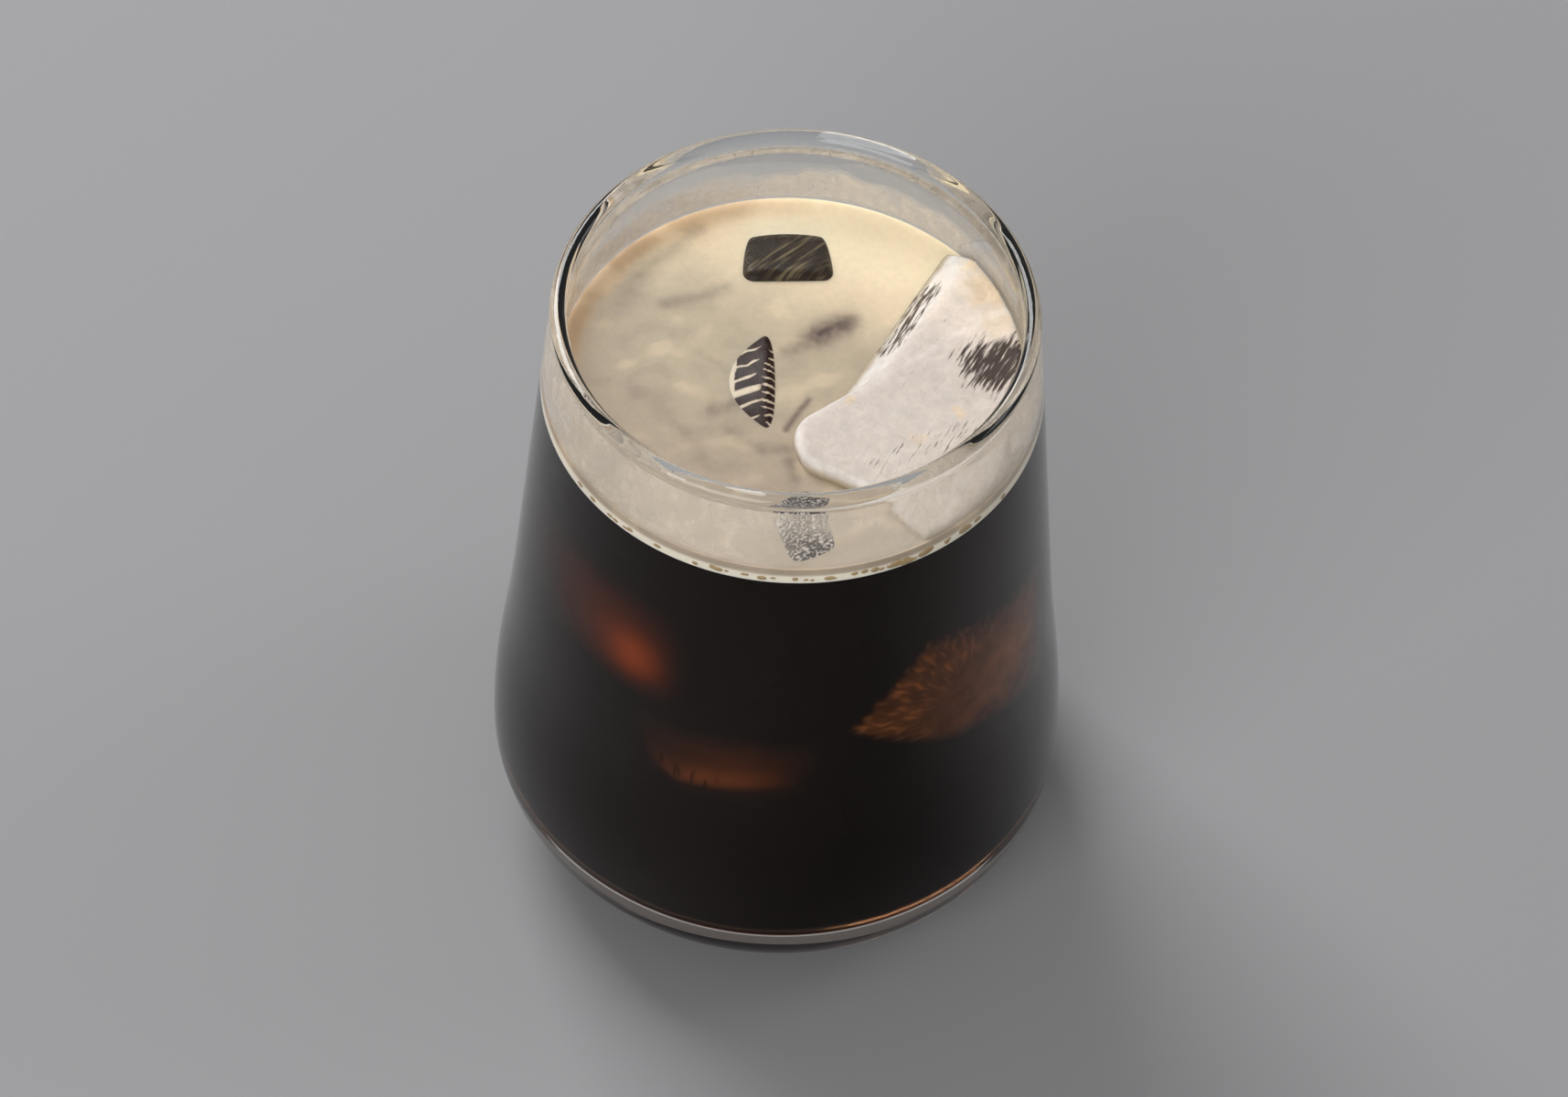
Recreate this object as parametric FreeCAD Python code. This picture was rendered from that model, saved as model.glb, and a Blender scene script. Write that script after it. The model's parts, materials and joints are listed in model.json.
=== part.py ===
import FreeCAD, Part
import math
import os

# Iced americano in its stemless glass tumbler.  Millimetres, +Z up.
# The origin is the middle of the ring that the glass stands on, and -Y is the front.
# One STEP file is written for each separate piece: the glass, the coffee, the crema
# that floats on it, and each lump of ice that breaks the surface.

V = FreeCAD.Vector
AXIS = V(0, 0, 0)
UP = V(0, 0, 1)

# ---- glass: outside ----------------------------------------------------------------
GLASS_HEIGHT = 115.0
RIM_RADIUS = 35.8          # outermost radius of the fire-polished bead
BELLY_RADIUS = 45.0        # the widest place
BELLY_HEIGHT = 18.0        # height of the widest place
BELLY_SWELL = 3.3          # the belly's radius less the radius at the cone's foot
CONE_FOOT_HEIGHT = 51.0    # the wall is a straight cone from here up to the shoulder
SHOULDER_DROP = 11.0       # from the rim down to the top of the straight cone
SHOULDER_SWELL = 0.9       # the shoulder's radius less the rim's radius
FOOT_RADIUS = 24.0         # where the base leaves the table
RING_WIDTH = 8.0           # the flat ring that the glass stands on
PUNT_DEPTH = 0.9           # hollow under the base, inside the ring

# ---- glass: wall, floor and rim ------------------------------------------------------
WALL = 2.4
BELLY_WALL = 2.6
INNER_BELLY_RISE = 2.0     # the inside is widest this much above the outside's widest
BASE_THICKNESS = 7.5
FLOOR_RADIUS = 9.0         # flat middle of the inside floor
BEAD_DIAMETER = 2.6
BEAD_WRAP = 40.0           # degrees below level where the bead runs out into the wall
NECK_DROP = 4.3            # from the rim down to the end of the neck under the bead
NECK_WALL = 2.1
NECK_INSET = 0.1           # the neck's outside is this much inside the bead's outside

# ---- drink ---------------------------------------------------------------------------
CREMA_DROP = 16.0          # from the rim down to the top of the crema
CREMA_THICKNESS = 2.1
MENISCUS_RISE = 0.7        # the crema climbs this much where it meets the glass
MENISCUS_WIDTH = 3.0

# ---- ice -----------------------------------------------------------------------------
# A place, and a width or depth seen from above, is a share of the inside radius at the
# crema, so that the lumps stay clear of each other and of the wall in any glass.
ICE_WALL_GAP = 0.6         # drink left between the ice and the glass
CUBE_EDGE = 1.8            # melted, rounded edges
CUBES = {
    # plan is across and deep; above is the middle of the top over the crema; turn is
    # about Z, pitch lowers the far edge and roll the right edge, in degrees; the top has
    # melted to a vault of radius arch, which runs arch_turn degrees from +X
    "ice_back": {
        "plan": (0.40, 0.385), "tall": 20.0, "place": (-0.055, 0.735), "above": 0.4,
        "turn": 4.5, "pitch": 9.0, "roll": 0.0, "arch": 150.0, "arch_turn": 90.0,
    },
    "ice_middle": {
        "plan": (0.545, 0.64), "tall": 12.0, "place": (-0.34, -0.035), "above": -0.35,
        "turn": 3.0, "pitch": 0.0, "roll": -8.0, "arch": 53.0, "arch_turn": 0.0,
    },
    "ice_front": {
        "plan": (0.25, 0.37), "tall": 18.0, "place": (0.075, -0.765), "above": 0.4,
        "turn": 24.0, "pitch": 0.0, "roll": 4.0, "arch": 70.0, "arch_turn": 0.0,
    },
}
SLAB_FRONT = (             # the front lump's outline, from its left tip round the front
    (-0.01, -0.30), (0.06, -0.49), (0.33, -0.61), (0.62, -0.86), (1.10, -0.60),
    (1.10, 0.55),
)
SLAB_BACK = (              # the wedge behind it; the last two end its melted face
    (1.10, -0.21), (1.10, 0.62), (0.68, 0.84), (0.15, -0.21),
)
SLAB_CORNER_RADIUS = 5.0
SLAB_DEPTH = 26.0          # from the crema down to the lump's underside
SLAB_TOP = 3.4             # height of its top above the crema, over the glass's axis
SLAB_CLIMB_BACK = 3.0      # degrees that its top climbs towards the back
SLAB_BACK_DROP = 0.3       # how far the wedge's top lies under the front lump's
SLAB_FACE_SLOPE = 38.0     # degrees of the melted face
SLAB_EDGE = 1.6

bead_radius = BEAD_DIAMETER / 2
crema_level = GLASS_HEIGHT - CREMA_DROP
coffee_level = crema_level - CREMA_THICKNESS
shoulder_height = GLASS_HEIGHT - SHOULDER_DROP
shoulder_radius = RIM_RADIUS + SHOULDER_SWELL
cone_foot_radius = BELLY_RADIUS - BELLY_SWELL
cone_slope = (cone_foot_radius - shoulder_radius) / (shoulder_height - CONE_FOOT_HEIGHT)


def point(radius, height):
    """A point of a turned outline."""
    return V(radius, 0, height)


def heading(outward, rise):
    """A unit direction in the plane of a turned outline."""
    direction = V(outward, 0, rise)
    direction.normalize()
    return direction


def inner_wall_radius(height):
    """The inside radius on the straight cone of the wall."""
    return shoulder_radius - WALL + cone_slope * (shoulder_height - height)


def cubic(start, leaving, end, arriving):
    """A smooth edge that leaves start and reaches end in the given directions."""
    handle = start.distanceToPoint(end) / 3
    curve = Part.BezierCurve()
    curve.setPoles([start, start + leaving * handle, end - arriving * handle, end])
    return curve.toShape()


def lower_quarter(centre, wide, tall):
    """The outer lower quarter of an ellipse."""
    side = centre + V(wide, 0, 0)
    bottom = centre - V(0, 0, tall)
    major, minor = (side, bottom) if wide > tall else (bottom, side)
    return Part.Ellipse(major, minor, centre).toShape(0, math.pi / 2)


def turned(edges):
    """The solid swept by a closed outline that runs once round the Z axis."""
    wire = Part.Wire(Part.__sortEdges__(edges))
    return Part.Face(wire).revolve(AXIS, UP, 360)


def bead_point(degrees):
    """A point on the rim's bead, by its angle above level, 0 being outermost."""
    angle = math.radians(degrees)
    centre = point(RIM_RADIUS - bead_radius, GLASS_HEIGHT - bead_radius)
    return centre + V(bead_radius * math.cos(angle), 0, bead_radius * math.sin(angle))


def side_edges(inset, belly, belly_height, neck_radius, bead_angle, outward):
    """One side of the wall from its bead down to its belly, as edges.

    inset is how far the side lies inside the outer cone, and outward is 1 for the
    outside and -1 for the inside.
    """
    wrap = math.radians(BEAD_WRAP)
    down = heading(cone_slope, -1)
    bead_end = bead_point(bead_angle)
    neck = point(neck_radius, GLASS_HEIGHT - NECK_DROP)
    shoulder = point(shoulder_radius - inset, shoulder_height)
    cone_foot = point(cone_foot_radius - inset, CONE_FOOT_HEIGHT)
    widest = point(belly, belly_height)
    neck_down = heading(shoulder.x - neck.x, shoulder.z - neck.z)
    leaving = heading(-outward * math.sin(wrap), -math.cos(wrap))
    return [
        cubic(bead_end, leaving, neck, neck_down),
        cubic(neck, neck_down, shoulder, down),
        Part.makeLine(shoulder, cone_foot),
        cubic(cone_foot, down, widest, V(0, 0, -1)),
    ]


def outer_edges():
    """The outside of the glass from the bead to the flat ring."""
    widest = BELLY_RADIUS - FOOT_RADIUS
    neck_radius = RIM_RADIUS - NECK_INSET
    return side_edges(0, BELLY_RADIUS, BELLY_HEIGHT, neck_radius, -BEAD_WRAP, 1) + [
        lower_quarter(point(FOOT_RADIUS, BELLY_HEIGHT), widest, BELLY_HEIGHT),
    ]


def inner_edges():
    """The inside of the glass from the bead to the flat of the floor."""
    belly = BELLY_RADIUS - BELLY_WALL
    belly_height = BELLY_HEIGHT + INNER_BELLY_RISE
    neck_radius = RIM_RADIUS - NECK_INSET - NECK_WALL
    centre = point(FLOOR_RADIUS, belly_height)
    bead_angle = 180 + BEAD_WRAP
    return side_edges(WALL, belly, belly_height, neck_radius, bead_angle, -1) + [
        lower_quarter(centre, belly - FLOOR_RADIUS, belly_height - BASE_THICKNESS),
        Part.makeLine(point(FLOOR_RADIUS, BASE_THICKNESS), point(0, BASE_THICKNESS)),
    ]


def underside_edges():
    """The ring that the glass stands on and the shallow hollow inside it."""
    ring_inside = FOOT_RADIUS - RING_WIDTH
    sphere = (ring_inside**2 + PUNT_DEPTH**2) / (2 * PUNT_DEPTH)
    half_way = math.asin(ring_inside / sphere) / 2
    on_arc = point(
        sphere * math.sin(half_way),
        PUNT_DEPTH - sphere * (1 - math.cos(half_way)),
    )
    return [
        Part.makeLine(point(FOOT_RADIUS, 0), point(ring_inside, 0)),
        Part.Arc(point(ring_inside, 0), on_arc, point(0, PUNT_DEPTH)).toShape(),
    ]


def make_glass():
    bead = Part.Arc(
        bead_point(-BEAD_WRAP), bead_point(90), bead_point(180 + BEAD_WRAP)
    ).toShape()
    core = Part.makeLine(point(0, PUNT_DEPTH), point(0, BASE_THICKNESS))
    return turned(outer_edges() + [bead] + inner_edges() + underside_edges() + [core])


def make_hollow():
    """All the room inside the glass, up to the neck under the bead."""
    edges = inner_edges()[1:]
    neck = edges[0].Vertexes[0].Point
    top = point(0, neck.z)
    lid = Part.makeLine(neck, top)
    core = Part.makeLine(top, point(0, BASE_THICKNESS))
    return turned(edges + [lid, core])


def make_crema_lens():
    """The crema's depth of the drink, level in the middle and climbing at its edge."""
    reach = inner_wall_radius(crema_level)
    beyond = RIM_RADIUS + MENISCUS_WIDTH
    curve = (MENISCUS_WIDTH**2 + MENISCUS_RISE**2) / (2 * MENISCUS_RISE)

    def climb(distance):
        return point(
            reach - MENISCUS_WIDTH + distance,
            crema_level + curve - math.sqrt(curve**2 - distance**2),
        )

    corners = [
        climb(MENISCUS_WIDTH),
        point(beyond, crema_level + MENISCUS_RISE),
        point(beyond, coffee_level),
        point(0, coffee_level),
        point(0, crema_level),
        climb(0),
    ]
    arc = Part.Arc(corners[-1], climb(MENISCUS_WIDTH / 2), corners[0]).toShape()
    sides = [Part.makeLine(a, b) for a, b in zip(corners, corners[1:])]
    return turned(sides + [arc])


def make_ice_room():
    """The room inside the cone of the wall that the ice can take."""
    foot = CONE_FOOT_HEIGHT
    low = inner_wall_radius(foot) - ICE_WALL_GAP
    high = inner_wall_radius(GLASS_HEIGHT) - ICE_WALL_GAP
    return Part.makeCone(low, high, GLASS_HEIGHT - foot, V(0, 0, foot))


def make_cube(plan, tall, place, above, turn, pitch, roll, arch, arch_turn):
    """A rounded cube of ice whose high edge stands a little out of the crema."""
    reach = inner_wall_radius(crema_level)
    across, deep = plan[0] * reach, plan[1] * reach
    cube = Part.makeBox(across, deep, tall, V(-across / 2, -deep / 2, -tall))
    along = V(1, 0, 0)
    vault = Part.makeCylinder(arch, 2 * reach, V(-reach, 0, -arch), along)
    vault.rotate(AXIS, UP, arch_turn)
    cube = cube.common(vault)
    cube = cube.makeFillet(CUBE_EDGE, cube.Edges)
    cube.rotate(AXIS, V(1, 0, 0), -pitch)
    cube.rotate(AXIS, V(0, 1, 0), roll)
    cube.rotate(AXIS, UP, turn)
    cube.translate(V(place[0] * reach, place[1] * reach, crema_level + above))
    return cube


def rounded_outline(corners, radius):
    """A closed flat wire through the corners, each rounded by an arc."""
    edges = []
    starts = []
    ends = []
    count = len(corners)
    for i, corner in enumerate(corners):
        back = (corners[i - 1] - corner).normalize()
        ahead = (corners[(i + 1) % count] - corner).normalize()
        half = back.getAngle(ahead) / 2
        cut = radius / math.tan(half)
        middle = (back + ahead).normalize() * (radius / math.sin(half) - radius)
        starts.append(corner + back * cut)
        ends.append(corner + ahead * cut)
        edges.append(Part.Arc(starts[-1], corner + middle, ends[-1]).toShape())
    for i in range(count):
        edges.append(Part.makeLine(ends[i], starts[(i + 1) % count]))
    return Part.Wire(Part.__sortEdges__(edges))


def space_above(through, turn, slope):
    """A large block above the plane that climbs to the right of a level line.

    The line runs through a point at the angle turn from +X, and slope is the climb in
    degrees.
    """
    wide = 4 * BELLY_RADIUS
    block = Part.makeBox(wide, wide, wide, V(-wide / 2, -wide / 2, 0))
    block.rotate(AXIS, V(1, 0, 0), -slope)
    block.rotate(AXIS, UP, turn)
    block.translate(through)
    return block


def slab_corners(shares, height):
    """Corners of the slab at a height, from shares of the inside radius."""
    reach = inner_wall_radius(crema_level)
    return [V(x * reach, y * reach, height) for x, y in shares]


def make_lump(outline, waste):
    """One part of the slab, from its outline up to a top with round edges."""
    lump = Part.Face(outline).extrude(UP * GLASS_HEIGHT)
    for block in waste:
        lump = lump.cut(block)
    crown = max(lump.Faces, key=lambda face: face.CenterOfMass.z)
    return lump.makeFillet(SLAB_EDGE, crown.Edges).common(make_ice_room())


def make_slab():
    """The big lump at the right, proud of the crema: a front lump and a wedge behind."""
    underside = crema_level - SLAB_DEPTH
    top = crema_level + SLAB_TOP
    outline = rounded_outline(slab_corners(SLAB_FRONT, underside), SLAB_CORNER_RADIUS)
    front = make_lump(outline, [space_above(UP * top, 0, -SLAB_CLIMB_BACK)])

    lower = UP * (top - SLAB_BACK_DROP)
    far, near = slab_corners(SLAB_BACK[-2:], crema_level)
    along = math.degrees(math.atan2(far.y - near.y, far.x - near.x))
    melted = space_above(near, along, SLAB_FACE_SLOPE)
    outline = Part.makePolygon(slab_corners(SLAB_BACK + SLAB_BACK[:1], underside))
    back = make_lump(outline, [space_above(lower, 0, -SLAB_CLIMB_BACK), melted])
    return front.fuse(back)


def make_parts():
    """Every piece by the name of its node."""
    ice = {name: make_cube(**values) for name, values in CUBES.items()}
    ice["ice_slab"] = make_slab()
    hollow = make_hollow()
    crema = make_crema_lens().common(hollow)
    below = Part.makeCylinder(2 * BELLY_RADIUS, coffee_level)
    coffee = below.common(hollow)
    for lump in ice.values():
        crema = crema.cut(lump)
        coffee = coffee.cut(lump)
    return {"glass": make_glass(), "coffee": coffee, "crema": crema, **ice}


def single(shape):
    """The one solid that a boolean leaves inside its compound."""
    solids = shape.Solids
    if len(solids) != 1:
        raise ValueError(f"expected one solid and found {len(solids)}")
    return solids[0]


os.makedirs("parts", exist_ok=True)
for name, shape in make_parts().items():
    solid = single(shape)
    solid.exportStep(f"parts/{name}.step")
    print(f"{name:12s} valid {solid.isValid()} volume {solid.Volume / 1000:8.2f} ml")
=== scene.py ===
"""An iced americano in a stemless tumbler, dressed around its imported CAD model."""

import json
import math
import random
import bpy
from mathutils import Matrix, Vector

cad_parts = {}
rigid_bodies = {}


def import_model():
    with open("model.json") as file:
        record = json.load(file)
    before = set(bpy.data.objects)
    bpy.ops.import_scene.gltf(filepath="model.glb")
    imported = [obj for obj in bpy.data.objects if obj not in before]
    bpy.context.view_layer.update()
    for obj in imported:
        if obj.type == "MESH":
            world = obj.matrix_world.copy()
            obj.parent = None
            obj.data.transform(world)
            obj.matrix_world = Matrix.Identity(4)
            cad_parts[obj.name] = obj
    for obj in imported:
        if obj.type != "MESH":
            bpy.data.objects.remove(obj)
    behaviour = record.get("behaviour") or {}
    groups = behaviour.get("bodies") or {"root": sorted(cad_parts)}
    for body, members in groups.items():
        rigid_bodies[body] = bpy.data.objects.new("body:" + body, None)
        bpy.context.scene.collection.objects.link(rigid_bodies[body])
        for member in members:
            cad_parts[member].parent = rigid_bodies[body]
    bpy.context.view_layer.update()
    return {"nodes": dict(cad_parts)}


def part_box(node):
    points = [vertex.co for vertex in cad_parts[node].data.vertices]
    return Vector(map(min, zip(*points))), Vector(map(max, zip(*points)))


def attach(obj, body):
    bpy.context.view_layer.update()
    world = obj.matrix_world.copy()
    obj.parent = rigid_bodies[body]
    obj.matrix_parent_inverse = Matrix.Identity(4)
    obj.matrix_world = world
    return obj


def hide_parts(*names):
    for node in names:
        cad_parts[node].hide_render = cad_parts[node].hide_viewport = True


bl_info = {
    "name": "Iced americano in a tumbler",
    "version": (1, 0, 0),
    "blender": (4, 5, 0),
    "location": "3D View > Sidebar > Iced americano",
    "description": "Glass, coffee, crema and melting ice around the packed model",
    "category": "Add Mesh",
}

import bpy
from mathutils import Matrix, Vector, noise

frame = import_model()

MM = 0.001
AROUND = 192               # divisions of a turned piece
FOAM_AROUND = 384          # the same where foam or mist changes along the wall
MERGE = 0.001 * MM         # points nearer than this become one
QUARTER_KNOTS = 6          # knots on a quarter of an ellipse
GLASS_IOR = 1.5
DRINK_IOR = 1.333
ICE_IOR = 1.31

_, glass_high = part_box("glass")
coffee_low, coffee_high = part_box("coffee")
_, crema_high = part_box("crema")


# ---- sizes and colours that a user would change --------------------------------------


def length(name, description, default, **options):
    return bpy.props.FloatProperty(
        name=name, description=description, default=default, subtype="DISTANCE",
        unit="LENGTH", precision=5, **options,
    )


def hex_colour(name, description, default):
    return bpy.props.StringProperty(
        name=name, description=description + ", as an sRGB hex value", default=default
    )


class AmericanoTumbler(bpy.types.PropertyGroup):
    """The turned glass."""

    rim_radius: length("Rim radius", "Outermost radius of the bead", 35.8 * MM)
    bead: length("Bead", "Thickness of the fire-polished rim", 2.6 * MM)
    neck_drop: length("Neck drop", "From the rim to the end of the neck", 4.3 * MM)
    neck_inset: length("Neck inset", "How far the neck lies inside the bead", 0.1 * MM)
    neck_wall: length("Neck wall", "Wall just under the bead", 2.1 * MM)
    shoulder_drop: length("Shoulder drop", "From the rim to the cone's top", 11 * MM)
    shoulder_radius: length("Shoulder radius", "Outside at the cone's top", 36.7 * MM)
    cone_foot: length("Cone foot", "Height where the belly begins", 51 * MM)
    cone_radius: length("Cone radius", "Outside where the belly begins", 41.7 * MM)
    belly_height: length("Belly height", "Height of the widest place", 18 * MM)
    belly_wall: length("Belly wall", "Wall at the widest place", 2.6 * MM)
    inner_rise: length("Inner rise", "How much higher the inside is widest", 2 * MM)
    foot_radius: length("Foot radius", "Where the base leaves the table", 24 * MM)
    ring_width: length("Ring width", "Flat ring that the glass stands on", 8 * MM)
    punt: length("Punt", "Hollow under the base", 0.9 * MM)
    wall: length("Wall", "Wall of the cone", 2.4 * MM)
    floor_radius: length("Floor radius", "Flat middle of the inside floor", 9 * MM)


class AmericanoDrink(bpy.types.PropertyGroup):
    """Coffee, crema and what floats in them."""

    reach: length("Reach", "How far the drink reaches into the wall", 0.2 * MM)
    meniscus: length("Meniscus", "Width of the climb at the glass", 3 * MM)
    drop: length("Crema drop", "From the rim to the top of the crema", 16 * MM)
    absorption: bpy.props.FloatProperty(
        name="Absorption", description="Density of the coffee, per metre",
        default=1345, min=0,
    )
    glow: hex_colour("Coffee's glow", "What a thin layer of coffee lets pass", "e2b130")
    crema: hex_colour("Crema", "The middle of the crema", "c2b197")
    # the crema is painted from crema_front at the front to crema_back at the back
    crema_back: hex_colour("Crema at the back", "Where the foam is thick", "ffe7c2")
    crema_front: hex_colour("Crema at the front", "Where the foam is thin", "b3a18c")
    # the crema is painted orange-tan in a band along the wall at the left and back
    crema_edge: hex_colour("Crema's edge", "Dried foam along the wall", "be9465")
    smear: hex_colour("Smears", "Coffee that shows through thin foam", "574239")
    milk: hex_colour("Frosted ice", "Ice that is full of fine bubbles", "ece0d6")


class AmericanoLight(bpy.types.PropertyGroup):
    """The floor, the lamps and what shows behind the glass."""

    backdrop: bpy.props.FloatProperty(
        name="Backdrop", description="How bright the space behind shows",
        default=0.34, min=0,
    )
    floor: hex_colour("Floor", "The pale floor", "a4a4a6")
    key: bpy.props.FloatProperty(
        name="Key", description="Power of the lamp at the back left, in watts",
        default=13, min=0,
    )
    front: bpy.props.FloatProperty(
        name="Front", description="Power of the low lamp in front, in watts",
        default=6.5, min=0,
    )
    fill: bpy.props.FloatProperty(
        name="Fill", description="Strength of the light from all round",
        default=0.25, min=0,
    )


# ---- small helpers -------------------------------------------------------------------


def linear(colour):
    """A linear colour with alpha from an sRGB hex value such as d9c4a0."""
    channels = [int(colour[i : i + 2], 16) / 255 for i in (0, 2, 4)]
    return [
        c / 12.92 if c <= 0.04045 else ((c + 0.055) / 1.055) ** 2.4 for c in channels
    ] + [1.0]


def add_node(tree, kind, values=None, links=None, **settings):
    """Adds a node; values and links go by socket name or number."""
    node = tree.nodes.new(kind)
    for key, value in settings.items():
        setattr(node, key, value)
    for socket, value in (values or {}).items():
        node.inputs[socket].default_value = value
    for socket, source in (links or {}).items():
        tree.links.new(source, node.inputs[socket])
    return node


def new_material(name):
    """An empty material with nodes."""
    material = bpy.data.materials.new(name)
    material.use_nodes = True
    material.node_tree.nodes.clear()
    return material


def surface(tree, shader, volume=None):
    """Ends a material with its shader and, where it has one, what fills it."""
    links = {"Surface": shader}
    if volume is not None:
        links["Volume"] = volume
    add_node(tree, "ShaderNodeOutputMaterial", links=links)


def pick(obj):
    """Makes obj the one selected and active object."""
    bpy.ops.object.select_all(action="DESELECT")
    obj.select_set(True)
    bpy.context.view_layer.objects.active = obj


def dress(obj, name, materials, nodes=()):
    """Finishes a piece: its name, materials, body and the nodes it stands for."""
    obj.name = obj.data.name = name
    obj.data.materials.clear()
    for material in materials:
        obj.data.materials.append(material)
    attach(obj, "root")
    if nodes:
        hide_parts(*nodes)


def add_modifier(obj, kind, **settings):
    """Adds a modifier with its settings and applies it."""
    modifier = obj.modifiers.new(kind.title(), kind)
    for key, value in settings.items():
        setattr(modifier, key, value)
    pick(obj)
    bpy.ops.object.modifier_apply(modifier=modifier.name)


def shade(obj, angle=None):
    """Shades obj smooth, but for edges sharper than angle where one is given."""
    pick(obj)
    if angle is None:
        bpy.ops.object.shade_smooth()
    else:
        bpy.ops.object.shade_smooth_by_angle(angle=angle)


def paint(obj, name, share):
    """Gives each vertex a number of its own, from its place in mm and its normal."""
    values = obj.data.attributes.new(name, "FLOAT", "POINT")
    values.data.foreach_set(
        "value", [share(v.co / MM, v.normal) for v in obj.data.vertices]
    )


def paint_colour(obj, tone):
    """Gives each vertex a colour of its own, from its place in mm and its normal."""
    # the crema already has this attribute, from the ice that was cut out of it
    values = obj.data.attributes.get("tone")
    values = values or obj.data.attributes.new("tone", "FLOAT_COLOR", "POINT")
    flat = [c for v in obj.data.vertices for c in tone(v.co / MM, v.normal)]
    values.data.foreach_set("color", flat)


def ramp(low, high, value):
    """0 up to low, 1 from high on and smooth between, and high may be the lower."""
    share = min(max((value - low) / (high - low), 0.0), 1.0)
    return share * share * (3 - 2 * share)


def blend(first, second, share):
    """The first colour with a share of the second in it."""
    return [a + (b - a) * share for a, b in zip(first, second)]


def off_segment(x, y, start, end):
    """How far (x, y) lies from the segment between start and end."""
    along_x, along_y = end[0] - start[0], end[1] - start[1]
    off_x, off_y = x - start[0], y - start[1]
    share = (off_x * along_x + off_y * along_y) / (along_x**2 + along_y**2)
    share = min(max(share, 0.0), 1.0)
    return math.hypot(off_x - share * along_x, off_y - share * along_y)


def ripple(x, y, size, seed):
    """Smooth noise from -1 to 1 whose lumps are about size across."""
    return noise.noise(Vector((x / size, y / size, seed)))


# ---- turned outlines -----------------------------------------------------------------
# A knot is a place (radius, 0, height) with the directions in which the outline arrives
# there and leaves.


def knot(radius, height, arriving, leaving=None):
    """A knot whose outline goes on as it arrives, unless leaving says otherwise."""

    def direction(pair):
        return Vector((pair[0], 0, pair[1])).normalized()

    return (
        Vector((radius, 0, height)),
        direction(arriving),
        direction(leaving or arriving),
    )


def backwards(knots):
    """The same outline drawn from its other end."""
    return [(at, -leaving, -arriving) for at, arriving, leaving in reversed(knots)]


def lower_quarter(radius, height, wide, tall):
    """Knots up the outer lower quarter of an ellipse about (radius, height)."""
    knots = []
    for i in range(QUARTER_KNOTS):
        angle = math.radians(90 * i / QUARTER_KNOTS - 90)
        cos, sin = math.cos(angle), math.sin(angle)
        knots.append(
            knot(radius + wide * cos, height + tall * sin, (-wide * sin, tall * cos))
        )
    return knots


def cone_of(tumbler):
    """The height of the cone's top, and how fast its radius grows from there down."""
    top = glass_high.z - tumbler.shoulder_drop
    wider = tumbler.cone_radius - tumbler.shoulder_radius
    return top, wider / (top - tumbler.cone_foot)


def wall_side(tumbler, inset, belly, belly_height):
    """Knots up one side of the wall, from the widest place to the top of the cone."""
    top, slope = cone_of(tumbler)
    up = (-slope, 1)
    return [
        knot(belly, belly_height, (0, 1)),
        knot(tumbler.cone_radius - inset, tumbler.cone_foot, up),
        knot(tumbler.shoulder_radius - inset, top, up),
    ]


def inner_side(tumbler, reach=0.0):
    """Knots from the middle of the inside floor up to the top of the cone, pushed out
    by reach."""
    belly = glass_high.x - tumbler.belly_wall
    height = tumbler.belly_height + tumbler.inner_rise
    floor = coffee_low.z
    wide = belly - tumbler.floor_radius + reach
    return (
        [knot(0, floor - reach, (1, 0))]
        + lower_quarter(tumbler.floor_radius, height, wide, height - floor + reach)
        + wall_side(tumbler, tumbler.wall - reach, belly + reach, height)
    )


def inside_radius(tumbler, height):
    """The inside radius on the straight cone of the wall."""
    top, slope = cone_of(tumbler)
    return tumbler.shoulder_radius - tumbler.wall + slope * (top - height)


def draw_outline(knots, resolution):
    """A wire drawn as a Bezier curve through the knots, made a mesh."""
    bpy.ops.object.select_all(action="DESELECT")
    bpy.ops.curve.primitive_bezier_curve_add(location=(0, 0, 0))
    obj = bpy.context.object
    spline = obj.data.splines[0]
    spline.bezier_points.add(len(knots) - len(spline.bezier_points))
    spline.resolution_u = resolution
    last = len(knots) - 1
    for i, (point, (at, arriving, leaving)) in enumerate(
        zip(spline.bezier_points, knots)
    ):
        point.handle_left_type = point.handle_right_type = "FREE"
        point.co = at
        point.handle_left = at - arriving * (at - knots[max(i - 1, 0)][0]).length / 3
        point.handle_right = at + leaving * (knots[min(i + 1, last)][0] - at).length / 3
    bpy.ops.object.convert(target="MESH")
    return bpy.context.object


def turn_outline(knots, resolution, around=AROUND):
    """A closed body turned from an outline that starts and ends on the axis."""
    obj = draw_outline(knots, resolution)
    bpy.ops.object.mode_set(mode="EDIT")
    bpy.ops.mesh.select_all(action="SELECT")
    bpy.ops.mesh.spin(steps=around, angle=2 * math.pi, center=(0, 0, 0), axis=(0, 0, 1))
    bpy.ops.mesh.select_all(action="SELECT")
    bpy.ops.mesh.remove_doubles(threshold=MERGE)
    bpy.ops.mesh.normals_make_consistent(inside=False)
    bpy.ops.object.mode_set(mode="OBJECT")
    shade(obj)
    return obj


# ---- materials -----------------------------------------------------------------------


def lets_lamps_through(tree, shader, tint="ffffff"):
    """Clear glass throws hardly any shadow, so rays from the lamps pass straight."""
    path = add_node(tree, "ShaderNodeLightPath")
    open_way = add_node(tree, "ShaderNodeBsdfTransparent", {"Color": linear(tint)})
    mix = add_node(
        tree, "ShaderNodeMixShader",
        links={
            0: path.outputs["Is Shadow Ray"], 1: shader, 2: open_way.outputs["BSDF"],
        },
    )
    return mix.outputs["Shader"]


def clear_body(tree):
    """A body whose own faces don't show, because what touches it bends light alike."""
    shader = add_node(
        tree, "ShaderNodeBsdfPrincipled",
        {"Base Color": linear("ffffff"), "Roughness": 0.0, "IOR": 1.0,
         "Transmission Weight": 1.0},
    )
    return lets_lamps_through(tree, shader.outputs["BSDF"])


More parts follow.
